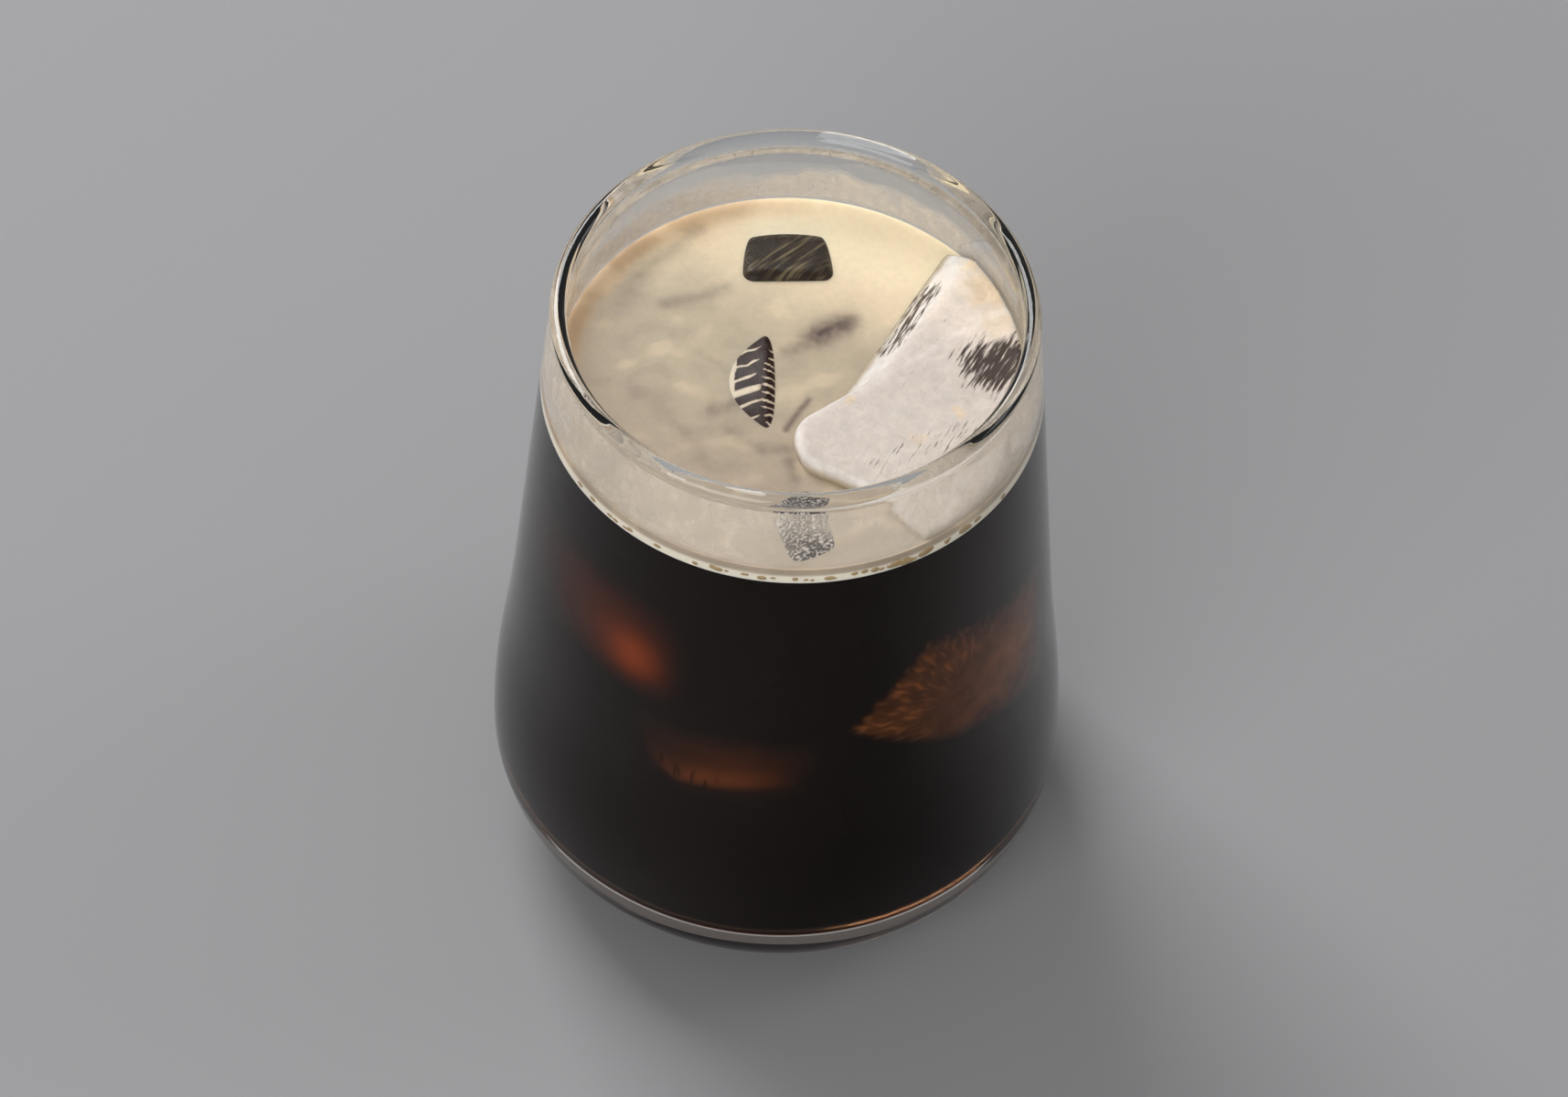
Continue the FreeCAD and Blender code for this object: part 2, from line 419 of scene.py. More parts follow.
def soda_lime_glass(
    name, ior=GLASS_IOR, mirrored="ffffff", thrown=None, clear="fbfdfd"
):
    """Pressed soda-lime glass, fire-polished: clear, with mirror-smooth faces.
    mirrored tints what shows in it, and thrown is the light that it lets through to
    the drink."""
    material = new_material(name)
    tree = material.node_tree
    shader = add_node(
        tree, "ShaderNodeBsdfPrincipled",
        {"Base Color": linear(clear), "Roughness": 0.0, "IOR": ior,
         "Transmission Weight": 1.0, "Specular Tint": linear(mirrored)},
    ).outputs["BSDF"]
    surface(tree, lets_lamps_through(tree, shader, thrown) if thrown else shader)
    return material


def black_coffee(drink):
    """Long black coffee: clear but so strong that a finger's depth is black, and a thin
    layer glows orange-brown."""
    material = new_material("black_coffee")
    tree = material.node_tree
    absorb = add_node(
        tree, "ShaderNodeVolumeAbsorption",
        {"Color": linear(drink.glow), "Density": drink.absorption},
    )
    surface(tree, clear_body(tree), absorb.outputs["Volume"])
    return material


def crema_foam():
    """Milkless foam of fine bubbles: matt and a little translucent, marbled by the
    coffee that shows where it is thin."""
    material = new_material("crema_foam")
    tree = material.node_tree
    tone = add_node(tree, "ShaderNodeAttribute", attribute_name="tone")
    place = add_node(tree, "ShaderNodeTexCoord").outputs["Object"]
    fine = add_node(
        tree, "ShaderNodeTexNoise",
        {"Scale": 1 / (1.1 * MM), "Detail": 3.0, "Roughness": 0.65}, {"Vector": place},
    )
    mottle = add_node(
        tree, "ShaderNodeMapRange",
        {"From Min": 0.3, "From Max": 0.7, "To Min": 0.955, "To Max": 1.035},
        {"Value": fine.outputs["Fac"]},
    )
    shaded = add_node(
        tree, "ShaderNodeVectorMath",
        links={0: tone.outputs["Color"], "Scale": mottle.outputs["Result"]},
        operation="SCALE",
    )
    bump = add_node(
        tree, "ShaderNodeBump", {"Strength": 0.12, "Distance": 0.15 * MM},
        {"Height": fine.outputs["Fac"]},
    )
    shader = add_node(
        tree, "ShaderNodeBsdfPrincipled",
        {"Roughness": 0.55, "Subsurface Weight": 0.35,
         "Subsurface Radius": (1.0, 0.75, 0.5), "Subsurface Scale": 1.2 * MM},
        {"Base Color": shaded.outputs["Vector"], "Normal": bump.outputs["Normal"]},
    )
    surface(tree, shader.outputs["BSDF"])
    return material


def rows_of(tree, place, heading, spacing, drawn):
    """Noise that is drawn out along a heading, as bubbles freeze in rows."""
    rows = add_node(
        tree, "ShaderNodeMapping",
        {"Rotation": (0, 0, math.radians(heading)), "Scale": (drawn, spacing, drawn)},
        {"Vector": place}, vector_type="TEXTURE",
    )
    return add_node(
        tree, "ShaderNodeTexNoise", {"Scale": 1.0, "Detail": 2.0, "Roughness": 0.6},
        {"Vector": rows.outputs["Vector"]},
    ).outputs["Fac"]


def melting_ice(name, deep, heading, spacing, drawn):
    """Wet melting ice: frosted by fine bubbles where "open" is 0, and clear down to the
    dark coffee where it is 1.  In between, rows of bubbles leave streaks."""
    material = new_material(name)
    tree = material.node_tree
    place = add_node(tree, "ShaderNodeTexCoord").outputs["Object"]
    streaks = rows_of(tree, place, heading, spacing, drawn)
    open_share = add_node(tree, "ShaderNodeAttribute", attribute_name="open")
    # the streaks break up the edge of each clear place
    raised = add_node(
        tree, "ShaderNodeMath", {1: 1.7}, {0: streaks}, operation="MULTIPLY"
    )
    raised = add_node(
        tree, "ShaderNodeMath",
        links={0: raised.outputs[0], 1: open_share.outputs["Fac"]}, operation="ADD",
    )
    window = add_node(
        tree, "ShaderNodeMapRange", {"From Min": 1.20, "From Max": 1.55},
        {"Value": raised.outputs[0]}, interpolation_type="SMOOTHSTEP",
    )
    # the clearest ice still holds enough bubbles to stop half of the light
    clear = add_node(
        tree, "ShaderNodeMath", {1: 0.45}, {0: window.outputs["Result"]},
        operation="MULTIPLY",
    )
    tone = add_node(tree, "ShaderNodeAttribute", attribute_name="tone")
    # fine bubbles lie in cloudy patches, so some of the dark drink shows between them
    patches = add_node(
        tree, "ShaderNodeTexNoise",
        {"Scale": 1 / (2.2 * MM), "Detail": 8.0, "Roughness": 0.75, "Distortion": 0.6},
        {"Vector": place},
    )
    cloud = add_node(
        tree, "ShaderNodeMapRange",
        {"From Min": 0.3, "From Max": 0.62, "To Min": 0.80, "To Max": 1.0},
        {"Value": patches.outputs["Fac"]},
    )
    white = add_node(
        tree, "ShaderNodeVectorMath",
        links={0: tone.outputs["Color"], 1: cloud.outputs["Result"]},
        operation="MULTIPLY",
    )
    tint = add_node(
        tree, "ShaderNodeMix", {"B": linear(deep)},
        {"Factor": window.outputs["Result"], "A": white.outputs["Vector"]},
        data_type="RGBA",
    )
    bump = add_node(
        tree, "ShaderNodeBump", {"Strength": 0.5, "Distance": 0.35 * MM},
        {"Height": patches.outputs["Fac"]},
    )
    shader = add_node(
        tree, "ShaderNodeBsdfPrincipled",
        {"Roughness": 0.14, "IOR": ICE_IOR, "Subsurface Weight": 0.3,
         "Subsurface Radius": (1.0, 0.95, 0.9), "Subsurface Scale": 2.0 * MM},
        {"Base Color": tint.outputs["Result"], "Transmission Weight": clear.outputs[0],
         "Normal": bump.outputs["Normal"]},
    )
    surface(tree, shader.outputs["BSDF"])
    return material


def submerged_ice():
    """Clear ice under the drink, which hides its faces: ice and coffee bend light
    almost alike."""
    material = new_material("submerged_ice")
    surface(material.node_tree, clear_body(material.node_tree))
    return material


def ice_with_painted_glow():
    """Ice under the coffee, with drawn-out bubbles: painted white where a glow of light
    through it is painted, and painted near-black shade elsewhere, which the coffee in
    front of it turns to brown."""
    material = new_material("ice_with_painted_glow")
    tree = material.node_tree
    tone = add_node(tree, "ShaderNodeAttribute", attribute_name="tone")
    shader = add_node(
        tree, "ShaderNodeBsdfPrincipled", {"Roughness": 0.5, "Specular IOR Level": 0.0},
        {"Base Color": tone.outputs["Color"]},
    )
    surface(tree, shader.outputs["BSDF"])
    return material


def condensation():
    """Mist on cool glass: a thin white haze with a ragged edge and clear runs in it."""
    material = new_material("condensation")
    tree = material.node_tree
    place = add_node(tree, "ShaderNodeTexCoord").outputs["Object"]
    cloud = add_node(
        tree, "ShaderNodeTexNoise",
        {"Scale": 1 / (5 * MM), "Detail": 6.0, "Roughness": 0.6}, {"Vector": place},
    )
    haze = add_node(tree, "ShaderNodeAttribute", attribute_name="haze")
    broken = add_node(
        tree, "ShaderNodeMapRange",
        {"From Min": 0.30, "From Max": 0.68, "To Min": 0.5, "To Max": 1.1},
        {"Value": cloud.outputs["Fac"]},
    )
    share = add_node(
        tree, "ShaderNodeMath",
        links={0: haze.outputs["Fac"], 1: broken.outputs["Result"]},
        operation="MULTIPLY",
    )
    shader = add_node(
        tree, "ShaderNodeBsdfPrincipled",
        {"Base Color": linear("ecdecd"), "Roughness": 0.9},
        {"Alpha": share.outputs[0]},
    )
    surface(tree, shader.outputs["BSDF"])
    return material


def foam_bubble():
    """A large bubble in the foam against the glass: a thin shell that shows coffee."""
    material = new_material("foam_bubble")
    tree = material.node_tree
    shader = add_node(
        tree, "ShaderNodeBsdfPrincipled",
        {"Base Color": linear("ab9065"), "Roughness": 0.4},
    )
    surface(tree, shader.outputs["BSDF"])
    return material


# ---- pieces --------------------------------------------------------------------------


class AMERICANO_OT_tumbler(bpy.types.Operator):
    """Turn the glass from its outline"""

    bl_idname = "americano.tumbler"
    bl_label = "Tumbler"

    def execute(self, context):
        tumbler = context.scene.americano_tumbler
        ring = tumbler.foot_radius - tumbler.ring_width
        neck = glass_high.z - tumbler.neck_drop
        outer_neck = tumbler.rim_radius - tumbler.neck_inset
        inner_neck = outer_neck - tumbler.neck_wall
        shoulder_drop = tumbler.shoulder_drop - tumbler.neck_drop
        outer_up = (outer_neck - tumbler.shoulder_radius, shoulder_drop)
        inner_up = (
            inner_neck - tumbler.shoulder_radius + tumbler.wall, shoulder_drop
        )
        # the bead is round, from a little under its outermost place over the top and
        # down to the inside of the neck, in degrees
        start, step, knots_on_bead = -40, 26, 11
        half = tumbler.bead / 2
        middle = Vector((tumbler.rim_radius - half, glass_high.z - half))
        bead = []
        for i in range(knots_on_bead):
            angle = math.radians(start + step * i)
            cos, sin = math.cos(angle), math.sin(angle)
            bead.append(knot(middle.x + half * cos, middle.y + half * sin, (-sin, cos)))
        under = (ring, -2 * tumbler.punt)
        outside = (
            [knot(0, tumbler.punt, (1, 0)), knot(ring, 0, under, (1, 0))]
            + lower_quarter(
                tumbler.foot_radius, tumbler.belly_height,
                glass_high.x - tumbler.foot_radius, tumbler.belly_height,
            )
            + wall_side(tumbler, 0, glass_high.x, tumbler.belly_height)
            + [knot(outer_neck, neck, outer_up)]
        )
        inside = inner_side(tumbler) + [knot(inner_neck, neck, inner_up)]
        obj = turn_outline(outside + bead + backwards(inside), resolution=7)
        # the faces are cut where the drink begins to wet them
        wet_line = crema_high.z - 0.5 * MM
        bpy.ops.object.mode_set(mode="EDIT")
        bpy.ops.mesh.select_all(action="SELECT")
        bpy.ops.mesh.bisect(plane_co=(0, 0, wet_line), plane_no=(0, 0, 1))
        bpy.ops.object.mode_set(mode="OBJECT")
        dress(
            obj, "tumbler",
            [
                soda_lime_glass("soda_lime_glass", thrown="e6e8e8"),
                # the step from glass to coffee is so small that the inside of the wall
                # all but vanishes where it is wet
                soda_lime_glass("wetted_glass", GLASS_IOR / DRINK_IOR, thrown="ffffff"),
                # painted shade: the shine on the wall over the coffee and on the base
                # is tinted darker and warmer, and the base's glass is tinted
                # brown-grey, standing in for the darker floor that shows in them
                soda_lime_glass(
                    "glass_over_coffee_painted_shade", mirrored="a07a6c", thrown="e6e8e8"
                ),
                soda_lime_glass("glass_base_painted_shade", mirrored="a07a6c", clear="655850"),
            ],
            ["glass"],
        )
        dry, wetted, over_coffee, base = range(4)
        floor_slope = 0.8      # a face whose normal rises more than this is the floor
        for face in obj.data.polygons:
            outward = Vector((face.center.x, face.center.y, 0)).normalized()
            if face.center.z >= wet_line:
                face.material_index = dry
            elif face.normal.dot(outward) < 0 or face.normal.z > floor_slope:
                face.material_index = wetted
            elif face.center.z < tumbler.belly_height:
                face.material_index = base
            else:
                face.material_index = over_coffee
        return {"FINISHED"}


class AMERICANO_OT_coffee(bpy.types.Operator):
    """Fill the glass with coffee up to the crema"""

    bl_idname = "americano.coffee"
    bl_label = "Coffee"

    def execute(self, context):
        tumbler = context.scene.americano_tumbler
        drink = context.scene.americano_drink
        top = coffee_high.z
        side = inner_side(tumbler, drink.reach)
        up = (side[-1][1].x, side[-1][1].z)
        edge = inside_radius(tumbler, top) + drink.reach
        knots = side[:-1] + [knot(edge, top, up, (-1, 0)), knot(0, top, (-1, 0))]
        obj = turn_outline(knots, resolution=6)
        dress(obj, "black_coffee", [black_coffee(drink)], ["coffee"])
        return {"FINISHED"}


def copy_node(node):
    """A merged copy of a CAD node's mesh, as a new object."""
    pick(frame["nodes"][node])
    bpy.ops.object.duplicate()
    obj = bpy.context.object
    bpy.ops.object.mode_set(mode="EDIT")
    bpy.ops.mesh.select_all(action="SELECT")
    bpy.ops.mesh.remove_doubles(threshold=MERGE)
    bpy.ops.object.mode_set(mode="OBJECT")
    return obj


def foam_combs(x, y):
    """How much foam, at a place in mm, has crept in combs over the middle lump."""
    teeth, ticks = 2.6, 1.35   # from one long tooth or short tick to the next
    bend = -3.4 - 2.3 * (1 - ((y + 1.0) / 12.0) ** 2)
    side = x - bend
    wave = 0.5 * ripple(x, y, 2.0, 3.0)
    tall = 0.5 + 0.5 * math.cos(2 * math.pi * (y - 0.45 * x + wave) / teeth)
    short = 0.5 + 0.5 * math.cos(2 * math.pi * (y + 0.2 * x + wave) / ticks)
    comb = ramp(0.80, 0.97, tall) * ramp(1.6, -0.6, side + 1.4 * ripple(0, y, 3.0, 9.0))
    wedge = ramp(0.9, 0.3, abs(y + 2.6 - 0.35 * side)) * ramp(1.6, 0.4, side)
    tick = ramp(0.70, 0.92, short) * ramp(0.6, 1.6, side + 0.6 * ripple(3, y, 2.0, 5.0))
    left = ramp(-2.6, -3.1, side + 0.5 * wave)
    return max(0.9 * comb, wedge, 0.85 * tick, left)


def slab_open(at):
    """Where the big lump is clear: a combed window by the wall, and its melted side."""
    x, y, z = at
    lowest_seen = 97
    if z < lowest_seen:
        return 0.0
    window = 0.80 * ramp(13.0, 2.0, math.hypot(x - 31.5, (y - 2.0) / 0.65))
    off = off_segment(x, y, (13.6, 5.0), (19.8, 17.0))
    side = 0.54 * ramp(3.4, 0.8, off + 0.8 * ripple(x, y, 3.0, 15.0))
    off = off_segment(x, y, (13.0, -18.0), (27.0, -9.5))
    flecks = 0.25 * ramp(3.5, 1.0, off + 1.5 * ripple(x, y, 2.5, 19.0))
    return max(window, side, flecks)


def slab_tone(milk, foam):
    """The frosted ice's colour, with foam at its foot and in stains on top, and painted
    highlights along its rounded edges.
    """
    murk, painted_glint = linear("dccdc1"), linear("fffaf6")
    cream, warm = linear("ffeede"), linear("f7dcb8")
    # the middle of each stain, its width and its strength
    stains = (
        ((28.5, 16.0), 5.5, 0.8), ((24.6, -7.0), 1.2, 0.6), ((9.3, -5.9), 1.0, 0.7),
        ((25.0, 21.0), 3.0, 0.8), ((19.0, -12.5), 1.6, 0.4), ((30.0, 9.5), 3.0, 0.5),
    )

    def tone(at, normal):
        x, y, z = at
        colour = blend(milk, murk, 0.5 + 0.5 * ripple(x, y, 3.0, 21.0))
        colour = blend(colour, milk, 0.5)
        colour = blend(colour, cream, 0.8 * ramp(4, 16, 0.6 * x - 10 + y))
        for middle, wide, strength in stains:
            off = math.hypot(x - middle[0], y - middle[1])
            off += 1.3 * ripple(x, y, 1.8, 7.0)
            colour = blend(colour, warm, strength * ramp(wide, wide * 0.3, off))
        # painted highlight: faces that slope, on the rounded edges, are painted
        # near-white as glints
        edge = ramp(0.97, 0.80, normal.z) * ramp(0.1, 0.5, normal.z)
        edge *= 0.65 + 0.5 * ripple(x, y, 2.2, 17.0)
        colour = blend(colour, painted_glint, min(max(0.85 * edge, 0.0), 1.0))
        foot = ramp(100.3, 99.2, z + 0.4 * ripple(x, y, 2.0, 1.0))
        return blend(colour, foam, foot)

    return tone


class AMERICANO_OT_ice(bpy.types.Operator):
    """Melt the lumps of ice that break the surface"""

    bl_idname = "americano.ice"
    bl_label = "Ice at the surface"

    def execute(self, context):
        drink = context.scene.americano_drink
        hidden = submerged_ice()
        # the ice is clear and hidden up to here, where the foam begins
        hidden_line = coffee_high.z + 0.3 * MM

        def plain(colour):
            return lambda at, normal: linear(colour)

        def combed(at, normal):
            return blend(linear("8c6d53"), linear("eddcc2"), foam_combs(at.x, at.y))

        def between_combs(at):
            return 1.15 - 1.3 * foam_combs(at.x, at.y)

        # the slab's colour includes painted highlights along its edges
        frosted = slab_tone(linear(drink.milk), linear(drink.crema))
        # the size of the melted mesh's faces, the heading of the streaks, their spacing
        # and length, in mm and degrees, the colour of clear ice, that of clouded ice
        # (with painted highlights on the slab's edges), and how clear it is
        looks = {
            "ice_back": (
                0.2, 48, 0.8, 9, "43362a", plain("75684f"), lambda at: 0.66,
            ),
            "ice_middle": (0.2, 30, 0.6, 6, "3c2015", combed, between_combs),
            "ice_front": (
                0.2, 30, 0.3, 0.5, "3c2f27", plain("d8cfc7"), lambda at: 0.60,
            ),
            "ice_slab": (0.3, 64, 0.4, 3.5, "5f4d43", frosted, slab_open),
        }
        for node, (voxel, heading, spacing, drawn, deep, tone, clear) in looks.items():
            obj = copy_node(node)
            add_modifier(obj, "REMESH", mode="VOXEL", voxel_size=voxel * MM)
            add_modifier(obj, "SMOOTH", factor=0.5, iterations=16)
            shade(obj)
            paint_colour(obj, tone)
            paint(obj, "open", lambda at, normal: clear(at))
            material = melting_ice(
                f"melting_{node}", deep, heading, spacing * MM, drawn * MM
            )
            dress(obj, f"melting_{node}", [material, hidden], [node])
            for face in obj.data.polygons:
                face.material_index = int(face.center.z < hidden_line)
        return {"FINISHED"}


# Each of the next three paints the glow of light through a sunken cube's near face: it
# says how white that face is, turned degrees round the glass and z mm up.  In them,
# along and up are mm along the wall, where a degree is about 0.66 mm, and upwards, from
# the middle of the glow.


def fan_of_bubbles_painted_glow(turned, z):
    """The right cube: rows of bubbles fan out to the left from a bright heart, in a
    painted glow of light through the ice that fades to dark at its borders.
    """
    along, up = 0.66 * (turned + 41), z - 57
    low = max(-7.0 - 0.353 * along, -8.5 - 0.63 * along)
    high = min(30.5 + 1.11 * along, 18.5 - 0.247 * along)
    ragged = 1.2 * ripple(along, up, 1.2, 35)
    inside = ramp(-0.5, 2.5, up - low) * ramp(0, 4, high - up + ragged)
    inside *= ramp(21, 13, along)
    reach = math.hypot(along, up)
    row = 16 * math.atan2(up, along) + 0.8 * ripple(along, up, 3, 31)
    streaks = ramp(-0.1, 0.5, ripple(row, reach / 4, 0.7, 33)) * ramp(7, 13, reach)
    left = ramp(8, -4, along)
    # painted glow: a bright heart of light through the ice
    heart = 0.60 * math.exp(-((along - 9) ** 2) / 90 - (up - 3) ** 2 / 70)
    cloud = 0.75 + 0.35 * ripple(along, up, 3.5, 37) + 0.2 * ripple(along, up, 1.2, 39)
    return inside * cloud * (0.14 + left * (0.10 + 0.46 * streaks) + heart)


def brim_of_bubbles_painted_glow(turned, z):
    """The front cube: a painted glow of light through the ice in a soft lower brim,
    nicked by upright cracks.
    """
    up = z - 46.5 - 0.11 * (turned + 116) - 0.05 * max(-109 - turned, 0) ** 2
    brim = ramp(0, 2.2, up) * math.exp(-((max(up - 2.5, 0) / 2.6) ** 2))
    brim *= ramp(-121, -106, turned) * ramp(-82, -100, turned)
    crack = ramp(0.1, 0.4, ripple(0.68 * turned, z / 7, 0.7, 41))
    nicks = crack * ramp(6, 2, up) * ramp(-100, -106, turned)
    glow = 0.09 * math.exp(-((up - 7) ** 2) / 40) * ramp(-126, -102, turned)
    glow *= ramp(62.5, 56, z) * ramp(43, 50, z)
    return 0.25 * brim * (1 - 0.9 * nicks) + glow * ramp(-76, -98, turned)


def corner_painted_glow(turned, z):
    """The left cube: a glow of light through the ice is painted on the corner by the
    wall.
    """
    along, up = 0.65 * (turned + 124.7), z - 70.7
    glow = 0.60 * math.exp(-(along**2) / 16 - up**2 / 18)
    glow += 0.22 * math.exp(-((along + 1.5) ** 2) / 50 - up**2 / 50)
    glow += 0.16 * math.exp(-((along + 9) ** 2) / 130 - (up - 4) ** 2 / 80)
    return glow * ramp(-9.5, -3, up) * ramp(11, 4, along) * ramp(16, 9, up)


class AMERICANO_OT_sunken_ice(bpy.types.Operator):
    """Sink cubes of ice whose near faces have a glow painted on them, to show through
    the coffee
    """

    bl_idname = "americano.sunken_ice"
    bl_label = "Sunken ice"

    def execute(self, context):
        tumbler = context.scene.americano_tumbler
        # painted light: the ice is painted near-black shade where no glow is painted,
        # and white where it is
        dark, white = linear("030202"), linear("fff9f0")
        rounding, voxel = 5 * MM, 0.4 * MM
        # which way each faces, how far its near face would lie from the glass's axis
        # and how high its middle lies, its width, depth and height, the coffee left
        # between it and the wall, and its bubbles and painted glow, in mm and degrees
        cubes = (
            ("right", -40, 38.2, 58.5, (44, 22, 46), 0.8, fan_of_bubbles_painted_glow),
            ("front", -100, 38.5, 52.5, (38, 20, 20), 1.2, brim_of_bubbles_painted_glow),
            ("left", -137, 38.0, 75.5, (42, 20, 28), 1.6, corner_painted_glow),
        )
        for name, heading, near, height, size, gap, bubbles in cubes:
            angle, out = math.radians(heading), near - size[1] / 2
            middle = Vector((out * math.cos(angle), out * math.sin(angle), height))
            bpy.ops.object.select_all(action="DESELECT")
            bpy.ops.mesh.primitive_cube_add(
                size=1, location=middle * MM,
                rotation=(0, 0, math.radians(heading + 90)),
                scale=[c * MM for c in size],
            )
            obj = bpy.context.object
            bpy.ops.object.transform_apply(location=True, rotation=True, scale=True)
            add_modifier(obj, "BEVEL", width=rounding, segments=6)
            add_modifier(obj, "REMESH", mode="VOXEL", voxel_size=voxel)
            add_modifier(obj, "SMOOTH", factor=0.5, iterations=20)
            shade(obj)
            # what would reach into the wall is pressed flat against its inside
            for vertex in obj.data.vertices:
                place = vertex.co
                radius = math.hypot(place.x, place.y)
                room = inside_radius(tumbler, place.z) - gap * MM
                if radius > room:
                    vertex.co = Vector(
                        (place.x * room / radius, place.y * room / radius, place.z)
                    )

            # the near face's colour is painted light, from near-black shade to a white
            # glow
            def tone(at, normal):
                turned = math.degrees(math.atan2(at.y, at.x))
                return blend(dark, white, bubbles(turned, at.z) if turned < 0 else 0)

            paint_colour(obj, tone)
            dress(obj, f"sunken_ice_{name}", [ice_with_painted_glow()])
        return {"FINISHED"}


def crema_tone(drink):
    """A function that gives the crema's colour at a place in mm, with painted light on
    the foam's side by the wall and painted shade at its left.
    """
    middle, back, front, edge, smear = (
        linear(c)
        for c in (
            drink.crema, drink.crema_back, drink.crema_front, drink.crema_edge,
            drink.smear,
        )
    )
    wall = 34.8                # the foam's radius
    # painted light: between these heights the foam's side by the wall is painted paler,
    # towards white, standing in for light that reaches it through the glass
    top, foot = 98.7, 98.0     # its side pales between these heights
    white = linear("fff4e2")
    # start and end of each smear, its width and its strength
    smears = (
        ((-0.9, 5.1), (8.1, 11.6), 1.5, 0.65),
        ((3.6, 8.5), (7.0, 10.6), 2.3, 1.1),
        ((-19.9, 12.9), (-10.6, 16.9), 1.3, 0.42),
        ((-27.0, 10.0), (-23.7, 18.7), 2.2, 0.25),
        ((-23.7, 18.7), (-15.2, 28.4), 1.4, 0.38),
        ((-11.5, -6.5), (-8.0, -5.2), 1.6, 0.55),
        ((-8.5, -10.5), (-4.0, -13.5), 1.3, 0.40),
        ((-3.5, -13.6), (0.6, -13.4), 1.0, 0.45),
        ((0.2, -15.5), (1.2, -18.5), 1.0, 0.55),
        ((2.4, -4.0), (-0.6, -9.6), 0.55, 1.0),
        ((-16.5, -9.5), (-12.5, -15.5), 1.0, 0.22),
        ((-24.0, -3.0), (-17.5, -8.0), 1.5, 0.20),
        ((-14.0, 4.5), (-9.5, 1.0), 0.8, 0.18),
    )

    def swept(start, at, seed):
        """Where the swirls of the foam have carried a coordinate of what is on it."""
        wide = 1.6 * ripple(at.x, at.y, 6.0, seed)
        return start + wide + 0.5 * ripple(at.x, at.y, 1.7, seed + 3.0)

    def tone(at, normal):
        x, y = swept(at.x, at, 1.0), swept(at.y, at, 2.0)
        radius = math.hypot(at.x, at.y)
        # the crema is painted lighter towards the back and darker towards the front
        far = ramp(4, 30, y + 0.35 * x + 2.5 * ripple(x, y, 9.0, 6.0))
        near = ramp(2, -28, y + 0.25 * x)
        colour = blend(blend(middle, back, far), front, near)
        # painted shade: the left of the crema, shaded by the left wall, is painted
        # darker with the front colour
        left = ramp(-14, -31, x) * ramp(30, 8, y)
        colour = blend(colour, front, 0.55 * left * (1 - near))
        # an orange-tan band is painted along the wall at the left and back
        ring = ramp(wall - 4.5, wall - 1.0, radius + 0.7 * ripple(x, y, 5.0, 8.0))
        ring *= ramp(6, -18, x) * ramp(-26, 0, y)
        colour = blend(colour, edge, 0.6 * ring)
        swirl = ripple(x + 0.6 * y, 2.2 * (y - 0.3 * x), 9.0, 11.0)
        swirl += 0.5 * ripple(x, y, 3.0, 13.0)
        colour = blend(colour, smear, 0.13 * ramp(0.0, 0.55, swirl) * (1 - far))
        colour = blend(colour, back, 0.25 * ramp(-0.1, -0.6, swirl))
        for start, end, wide, strength in smears:
            off = off_segment((x + 2 * at.x) / 3, (y + 2 * at.y) / 3, start, end)
            if off < 2.5 * wide:
                broken = 0.75 + 0.25 * ripple(x, y, 1.2, 12.0)
                strength *= math.exp(-((off / wide) ** 2)) * broken
                colour = blend(colour, smear, min(strength, 1.0))
        # painted light: the side of the foam by the wall is painted paler
        side = ramp(top, foot, at.z) * ramp(wall - 2.5, wall - 0.5, radius)
        return blend(colour, white, 0.85 * side)

    return tone


class AMERICANO_OT_crema(bpy.types.Operator):
    """Lay the crema on the coffee, with room for the ice"""

    bl_idname = "americano.crema"
    bl_label = "Crema"

    def execute(self, context):
        tumbler = context.scene.americano_tumbler
        drink = context.scene.americano_drink
        bottom, top = coffee_high.z, crema_high.z
        level = glass_high.z - drink.drop
        # it reaches further into the wall than the coffee, so their sides stay apart
        reach = drink.reach * 1.3
        wall_low = inside_radius(tumbler, bottom) + reach
        wall_high = inside_radius(tumbler, top) + reach
        flat = inside_radius(tumbler, level) - drink.meniscus
        up = (wall_high - wall_low, top - bottom)
        climb = (-drink.meniscus, level - top)
        knots = [
            knot(0, bottom - 0.2 * MM, (1, 0)),
            knot(wall_low, bottom, (1, 0), up),
            knot(wall_high, top, up, climb),
        ]
        knots += [
            knot(flat * share, level, (-1, 0)) for share in (1, 0.75, 0.5, 0.25, 0)
        ]
        obj = turn_outline(knots, resolution=22, around=FOAM_AROUND)
        dress(obj, "crema_foam", [crema_foam()], ["crema"])
        cutters = [o for o in bpy.data.objects if o.name.startswith("melting_ice")]
        for cutter in cutters:
            pick(cutter)
            bpy.ops.object.duplicate()
            tool = bpy.context.object
            # a little smaller than the ice, so that no gap opens round it
            add_modifier(tool, "DISPLACE", strength=-0.1 * MM, mid_level=0.0)
            add_modifier(
                obj, "BOOLEAN", operation="DIFFERENCE", object=tool, solver="EXACT"
            )
            bpy.data.objects.remove(tool)
        shade(obj, math.radians(40))
        paint_colour(obj, crema_tone(drink))
        return {"FINISHED"}


